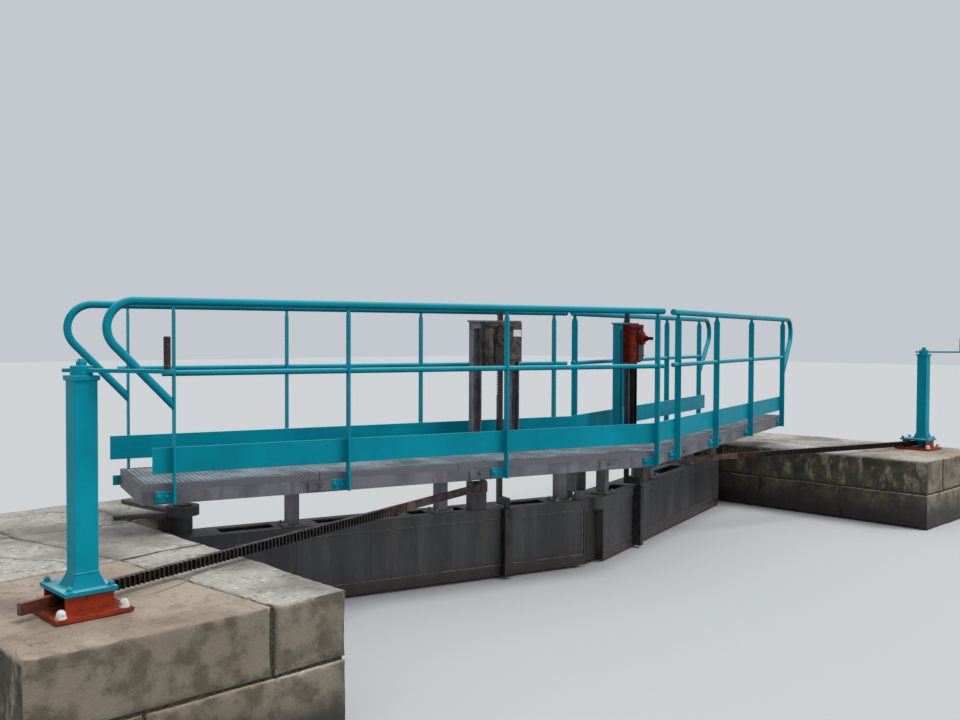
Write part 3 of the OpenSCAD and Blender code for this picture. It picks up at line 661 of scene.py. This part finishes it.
def dress_nodes():
    """Gives each CAD node its finish, with soft edges where its form is plain enough."""
    looks = {
        "heel_bearings": (leaf_steel, 0.002),
        "rack_housing": (red_brown_steel, 0.0015),
        "crank_column": (turquoise_paint, 0.002),
        "crank": (turquoise_paint, 0.0012),
        "crank_grip": (worn_grip, 0.003),
        "rack": (greased_rack, 0.0012),
        "heel_post": (leaf_steel, 0.004),
        "leaf_frame": (leaf_steel, 0.002),
        "leaf_skin": (leaf_steel, 0.0),
        "mitre_post": (wet_timber, 0.006),
        "rack_bracket": (leaf_steel, 0.0015),
        "walkway_supports": (deck_steel, 0.0015),
        "walkway_frame": (deck_steel, 0.0025),
        "grating": (galvanised_steel, 0.0),
        "railing_posts": (turquoise_paint, 0.001),
        "rails": (turquoise_paint, 0.0),
        "toe_boards": (turquoise_paint, 0.001),
        "paddle_frame": (gear_grey, 0.0015),
        "paddle_gearbox": (gear_grey, 0.006),
        "paddle_guide": (greased_steel, 0.001),
        "paddle_rod": (greased_steel, 0.001),
    }
    special = {
        "near_paddle_frame": gear_column_paint,
        "far_paddle_frame": far_gear_paint,
        "far_paddle_gearbox": gear_red,
    }
    for side in ("near", "far"):
        for name, (finish, bevel) in looks.items():
            node = f"{side}_{name}"
            finish = special.get(node, finish)
            if bevel:
                rounded(node, finish, bevel)
            else:
                nodes[node].data.materials.clear()
                nodes[node].data.materials.append(finish)


def arc(centre, radius, start, end, count):
    """Points on a circle between two angles in degrees."""
    spots = []
    for i in range(count + 1):
        turn = math.radians(start + (end - start) * i / count)
        spots.append((centre[0] + radius * math.cos(turn), centre[1] + radius * math.sin(turn)))
    return spots


def square(x, y, half_x, half_y, z):
    """The corners of a level rectangle around a point."""
    return [
        (x - half_x, y - half_y, z),
        (x + half_x, y - half_y, z),
        (x + half_x, y + half_y, z),
        (x - half_x, y + half_y, z),
    ]


def stone(outline, low, high, seed):
    """One block of masonry: a plan outline with worn faces and rounded arrises."""
    wear, edge_wear, longest = 0.007, 2.6, 0.075
    shape = Shape()
    shape.prism(outline, low, high)
    mesh = shape.mesh
    bmesh.ops.recalc_face_normals(mesh, faces=mesh.faces)
    bmesh.ops.triangulate(mesh, faces=mesh.faces)
    for _ in range(7):
        long = [e for e in mesh.edges if e.calc_length() > longest]
        if not long:
            break
        bmesh.ops.subdivide_edges(mesh, edges=long, cuts=1)
        bmesh.ops.triangulate(mesh, faces=mesh.faces)
    drift = Vector((seed * 3.1, seed * 1.7, seed * 0.9))
    mesh.normal_update()
    shifts = []
    for vert in mesh.verts:
        spot = vert.co * 3 + drift
        rough = 0.5 + 0.5 * noise.noise(spot)
        rough += 0.35 * (0.5 + 0.5 * noise.noise(spot * 4))
        at_edge = len({tuple(round(v, 1) for v in f.normal) for f in vert.link_faces}) > 1
        depth = wear * rough * (edge_wear if at_edge else 1.0)
        shifts.append(vert.normal * -depth)
    for vert, shift in zip(mesh.verts, shifts):
        vert.co += shift
    return mesh


def masonry(side):
    """Coping slabs and the course below them, on a core of earth and mortar."""
    gap, heel_face = 0.006, -2.87
    quoin = arc((-HEEL_X, 0), QUOIN_RADIUS, 59, 164, 10)
    back, mid, front = BANK_BACK, BANK_JOINT, BANK_FRONT
    up, down = BANK_UP, BANK_DOWN
    kerb, corner = SLAB_KERB, SLAB_CORNER
    heel_block = [(front, 0.04), (front, down), (heel_face, down), (heel_face, 0.125), *quoin]
    plans = {
        "coping": [
            [(back, up), (kerb, up), corner, (back, -1.02)],
            [(kerb, up), (front, up), (front, -0.86), corner],
            [(back, -1.02), corner, (mid, 0.05), (back, 0.10)],
            [corner, (front, -0.86), (front, 0.04), (mid, 0.05)],
            [(back, 0.10), (mid, 0.05), (mid, down), (back, down)],
            [(mid, 0.05), (front, 0.04), (front, down), (mid, down)],
            heel_block,
        ],
        "course": [
            [(back, up), (-4.30, up), (-4.30, -1.30), (back, -1.30)],
            [(-4.30, up), (front, up), (front, -1.35), (-4.30, -1.30)],
            [(back, -1.30), (mid, -1.30), (mid, -0.20), (back, -0.20)],
            [(mid, -1.30), (front, -1.35), (front, -0.45), (mid, -0.45)],
            [(mid, -0.45), (front, -0.45), (front, 0.04), (mid, 0.04)],
            [(back, -0.20), (mid, -0.20), (mid, down), (back, down)],
            [(mid, 0.04), (front, 0.04), (front, down), (mid, down)],
            heel_block,
        ],
    }
    levels = {"coping": (COPING_BED, COPING), "course": (0.0, COURSE_TOP)}
    whole = bmesh.new()
    count = 0
    for course, outlines in plans.items():
        low, high = levels[course]
        for outline in outlines:
            centre = sum((Vector(p) for p in outline), Vector((0, 0))) / len(outline)
            drawn_in = []
            for p in outline:
                inward = centre - Vector(p)
                step = Vector((math.copysign(gap, inward.x), math.copysign(gap, inward.y)))
                drawn_in.append(Vector(p) + step * 0.5)
            count += 1
            block = stone(drawn_in, low, high, count + (40 if side == "far" else 0))
            data = bpy.data.meshes.new("stone")
            block.to_mesh(data)
            block.free()
            whole.from_mesh(data)
            bpy.data.meshes.remove(data)
    placing = matrices(side)["bank"]
    bmesh.ops.transform(whole, matrix=placing, verts=whole.verts)
    bmesh.ops.recalc_face_normals(whole, faces=whole.faces)
    made = piece(f"{side}_masonry", whole, limestone, "site", smooth=75)
    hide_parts(f"{side}_abutment")
    inset, bottom, top = 0.02, 0.004, COPING - 0.022
    core = Shape()
    core.box((back + inset, up + inset, bottom), (front - inset, down - inset, top))
    core.box((-3.36, 0.17, bottom), (heel_face - inset, down - inset, top))
    core.make("mortar", side, "bank", "site", earth_mortar)


def post_details(side):
    """Weld rings under the handrail, foot bolts and welds of the railing posts."""
    half_thick, half_wide, under_rail = 0.006, 0.012, 1.9757
    foot_out, foot_low, foot_bolt, foot_high = 0.025, 0.853, 0.878, 0.908
    bolts, welds = Shape(), Shape()
    rows = ((RAIL_CHAMBER, CHAMBER_POSTS[side], -1), (RAIL_RIVER, RIVER_POSTS[side], 1))
    for rail_y, posts, outward in rows:
        foot = rail_y - outward * foot_out
        for x in posts:
            for shift in FOOT_BOLTS[side]:
                bolts.bolt((x + shift, foot, foot_bolt), (0, outward, 0), "post")
            welds.bead(square(x, rail_y, half_thick, half_wide, under_rail), FINE_BEAD)
            for face in (-half_thick, half_thick):
                ends = [(x + face, foot, foot_low), (x + face, foot, foot_high)]
                welds.bead(ends, FINE_BEAD, False)
    bolts.make("foot_bolts", side, "leaf", "leaf", turquoise_paint)
    welds.make("rail_welds", side, "leaf", "leaf", turquoise_paint)


def winch_details(side):
    """Bolts, caps and welds of the winch column and its housing."""
    flange_bolts = ((-0.085, 0.085), (-0.078, 0.168))
    foot_caps = ((-0.13, 0.13), (-0.106, 0.196))
    x, y = WINCH
    bolts, caps, welds = Shape(), Shape(), Shape()
    for dx in flange_bolts[0]:
        for dy in flange_bolts[1]:
            bolts.bolt((x + dx, y + dy, FLANGE_TOP), (0, 0, 1), "flange")
    for dx in foot_caps[0]:
        for dy in foot_caps[1]:
            foot = Vector((x + dx, y + dy, FOOT_TOP))
            shoulder = foot + Vector((0, 0, 0.017))
            caps.rod(foot, foot + Vector((0, 0, 0.005)), 0.023, 20)
            caps.rod(foot + Vector((0, 0, 0.004)), shoulder, 0.020, 20)
            caps.ball(shoulder, 0.0195, 8)
    welds.bead(square(x, y, FLARE_WELD, FLARE_WELD, FLANGE_TOP), BEAD)
    for z in (FLARE_TOP, HEAD_BOTTOM):
        welds.bead(square(x, y, COLUMN_WELD, COLUMN_WELD, z), FINE_BEAD)
    bolts.make("flange_bolts", side, "bank", "site", turquoise_paint)
    caps.make("bolt_caps", side, "bank", "site", white_cap)
    welds.make("column_welds", side, "bank", "site", turquoise_paint)


def mitre_x(y, gap):
    """How far out a line along the leaf at y goes, to end gap short of the lock's middle."""
    turn = -LEAF_TURN
    return (HEEL_X - gap - y * math.sin(turn)) / math.cos(turn)


def grating_rods(side):
    """Thin cross rods that tie the grating's bearing bars together."""
    rows, half_gap, half_wide, deep, sunk = 20, 0.004, 0.0025, 0.007, 0.001
    hole_low, hole_high, hole_half = -0.213, -0.022, 0.036
    shape = Shape()
    seams = [-DECK_BACK[side], *GRATING_SEAMS, None]
    rod_x = ROD_X[side]
    for i in range(len(seams) - 1):
        low = seams[i] + half_gap
        for k in range(1, rows):
            y = DECK_CHAMBER + (DECK_RIVER - DECK_CHAMBER) * k / rows
            if seams[i + 1] is None:
                high = mitre_x(y, DECK_GAP[side] + 2 * half_gap)
            else:
                high = seams[i + 1] - half_gap
            cuts = [(low, high)]
            if hole_low < y < hole_high and low < rod_x < high:
                cuts = [(low, rod_x - hole_half), (rod_x + hole_half, high)]
            for start, end in cuts:
                corner = (start, y - half_wide, DECK - deep)
                shape.box(corner, (end, y + half_wide, DECK - sunk))
    shape.make("grating_rods", side, "leaf", "leaf", galvanised_steel)


def gear_details(side):
    """Covers, a greased hub, a barrel and bolts of the paddle gearbox, and its frame's bolts."""
    chamber, river, up = (0, -1, 0), (0, 1, 0), (0, 0, 1)
    foot_reach, foot_plate = 0.1625, 0.012
    hub_z, hub_radius, hub_bolts, inside = 1.805, 0.068, 0.060, 0.002
    barrel_radius, band_radius, band_height = 0.034, 0.038, 0.020
    x, y, way, mid = ROD_X[side], GEAR_Y, GEAR_WAY[side], GEAR_MID[side]
    finish = gear_red if side == "far" else gear_grey
    front, back = y - 0.095, y + 0.055
    low, high = GEAR_LOW, GEAR_HIGH
    covers, grease, bolts, feet = Shape(), Shape(), Shape(), Shape()
    hub_x, hub_face = x - 0.04, front - 0.014
    grease.rod((hub_x, front - 0.004, hub_z), (hub_x, hub_face, hub_z), hub_radius, 32)
    grease.box((x - 0.10, front - 0.012, low + 0.012), (x + 0.01, front + inside, 1.79))
    lid = sorted((mid - way * 0.065, mid - way * 0.165))
    lid_face = front - 0.010
    covers.box((lid[0], lid_face, low + 0.05), (lid[1], front + inside, high - 0.16))
    flange_half, flange_face = 0.120, front - 0.012
    flange_corner = (mid + flange_half, front + inside, high - 0.016)
    covers.box((mid - flange_half, flange_face, high - 0.036), flange_corner)
    barrel_x, barrel_y = mid + way * 0.088, front + 0.018
    bottom, top = (barrel_x, barrel_y, low + 0.02), (barrel_x, barrel_y, high - 0.05)
    covers.rod(bottom, top, barrel_radius, 28)
    for z in (low + 0.06, high - 0.09):
        band_top = (barrel_x, barrel_y, z + band_height)
        covers.rod((barrel_x, barrel_y, z), band_top, band_radius, 28)
    for i in range(5):
        bolts.bolt((mid - 0.098 + 0.049 * i, flange_face, high - 0.026), chamber, "gear_front")
    for bolt_x, bolt_z in arc((hub_x, hub_z), hub_bolts, 15, 315, 5):
        bolts.bolt((bolt_x, hub_face, bolt_z), chamber, "gear_front")
    for edge in (lid[0] + 0.009, lid[1] - 0.009):
        for z in (low + 0.058, high - 0.168):
            bolts.bolt((edge, lid_face, z), chamber, "gear_lid")
    for dx in (-0.110, 0.110):
        for z in (low + 0.03, high - 0.03):
            bolts.bolt((mid + dx, back, z), river, "gear_back")
    for foot in (mid - foot_reach, mid + foot_reach):
        for dx in (-0.047, 0.047):
            for dy in (-0.043, 0.043):
                feet.bolt((foot + dx, y + dy, DECK + foot_plate), up, "gear_foot")
    covers.make("gear_covers", side, "leaf", "leaf", finish, 0.002)
    grease.make("gear_grease", side, "leaf", "leaf", greased_steel, 0.002)
    if side == "near":
        plate = Shape()
        plate.box((mid + 0.108, front - 0.002, 1.806), (mid + 0.176, front + 0.001, 1.856))
        plate.make("blank_plate", side, "leaf", "leaf", white_cap)
    bolts.make("gear_bolts", side, "leaf", "leaf", finish)
    feet.make("gear_foot_bolts", side, "leaf", "leaf", zinc_bolt)


def splice_details(side):
    """Bolts through the splice plates of the chamber-side channel."""
    plate_face, bolt_z = DECK_CHAMBER - 0.012, 0.884
    bolts = Shape()
    for x in SPLICES[side]:
        bolts.bolt((x, plate_face, bolt_z), (0, -1, 0), "splice")
    bolts.make("splice_bolts", side, "leaf", "leaf", deck_steel)


def deck_rim(side):
    """Flat margin of the deck's frame around the grating."""
    rim = Shape()
    back, wide, thick = -DECK_BACK[side], 0.028, 0.0015
    gap = DECK_GAP[side] + 0.002
    for edge, inward in ((DECK_CHAMBER, wide), (DECK_RIVER, -wide)):
        inner = edge + inward
        outer_end, inner_end = mitre_x(edge, gap), mitre_x(inner, gap)
        plan = [(back, edge), (outer_end, edge), (inner_end, inner), (back, inner)]
        rim.prism(plan, DECK, DECK + thick)
    rim.box((back, DECK_CHAMBER + wide, DECK), (back + wide, DECK_RIVER - wide, DECK + thick))
    rim.make("deck_rim", side, "leaf", "leaf", deck_steel)


def leaf_details(side):
    """Welds of the skin and the supports, a seam of the skin, and the supports' bolts."""
    welds, seams, bolts = Shape(), Shape(), Shape()
    face = -LEAF_HALF + 0.010
    heel, mitre = 0.16, mitre_x(-LEAF_HALF, 0.130)
    low, high = 0.097, 0.449
    corners = [(heel, face, high), (mitre, face, high), (mitre, face, low), (heel, face, low)]
    seams.bead(corners, SKIN_BEAD, False)
    seams.make("skin_welds", side, "leaf", "leaf", weld_steel)
    seam_x, seam_y = 1.6, face + 0.002
    welds.rod((seam_x, seam_y, 0.10), (seam_x, seam_y, 0.45), BEAD, 10)
    plate_top, box_top = LEAF_TOP + 0.012, 0.823
    half, bolt_out = 0.040, 0.06
    for x in SUPPORTS:
        for z in (plate_top, box_top):
            welds.bead(square(x, SUPPORT_Y, half, half, z), BEAD)
        for dx in (-bolt_out, bolt_out):
            for dy in (-bolt_out, bolt_out):
                bolts.bolt((x + dx, SUPPORT_Y + dy, plate_top), (0, 0, 1), "support")
    welds.make("leaf_welds", side, "leaf", "leaf", leaf_steel)
    bolts.make("support_bolts", side, "leaf", "leaf", zinc_bolt)


def add_stage():
    """A plain floor just below the object, a pale sky and a soft sun."""
    reach, below = 60.0, 0.002
    floor = bpy.data.meshes.new("floor")
    floor.from_pydata(square(0, 0, reach, reach, 0), [], [(0, 1, 2, 3)])
    floor.materials.append(pale_floor)
    ground = bpy.data.objects.new("floor", floor)
    ground.location.z = -below
    bpy.context.scene.collection.objects.link(ground)
    world = bpy.data.worlds.new("sky")
    world.use_nodes = True
    sky = world.node_tree.nodes["Background"].inputs
    sky["Color"].default_value = srgb(222, 228, 234)
    sky["Strength"].default_value = 0.75
    bpy.context.scene.world = world
    sun = bpy.data.lights.new("soft_sun", "SUN")
    sun.energy = 1.7
    sun.angle = math.radians(25)
    lamp = bpy.data.objects.new("soft_sun", sun)
    toward_sun = Vector((0.30, -0.55, 1.0))
    lamp.rotation_euler = toward_sun.to_track_quat("Z", "Y").to_euler()
    bpy.context.scene.collection.objects.link(lamp)


def add_camera():
    """The camera, with the place, turn and lens that were fitted to the photograph."""
    spot = (-5.949, -5.1461, 1.8107)
    yaw, pitch, roll = 0.80446, -0.02504, 0.0039
    lens = bpy.data.cameras.new("camera")
    lens.sensor_width = 36.0
    lens.lens = 36.264
    lens.clip_end = 200.0
    eye = bpy.data.objects.new("camera", lens)
    level = math.cos(pitch)
    way = Vector((math.cos(yaw) * level, math.sin(yaw) * level, math.sin(pitch)))
    turn = way.to_track_quat("-Z", "Y").to_matrix().to_4x4() @ Matrix.Rotation(roll, 4, "Z")
    eye.matrix_world = Matrix.Translation(spot) @ turn
    bpy.context.scene.collection.objects.link(eye)
    bpy.context.scene.camera = eye


random.seed(7)
dress_nodes()
for bank_side in ("near", "far"):
    masonry(bank_side)
    post_details(bank_side)
    winch_details(bank_side)
    grating_rods(bank_side)
    gear_details(bank_side)
    splice_details(bank_side)
    deck_rim(bank_side)
    leaf_details(bank_side)
add_stage()
add_camera()
bpy.context.scene.view_settings.view_transform = "Standard"
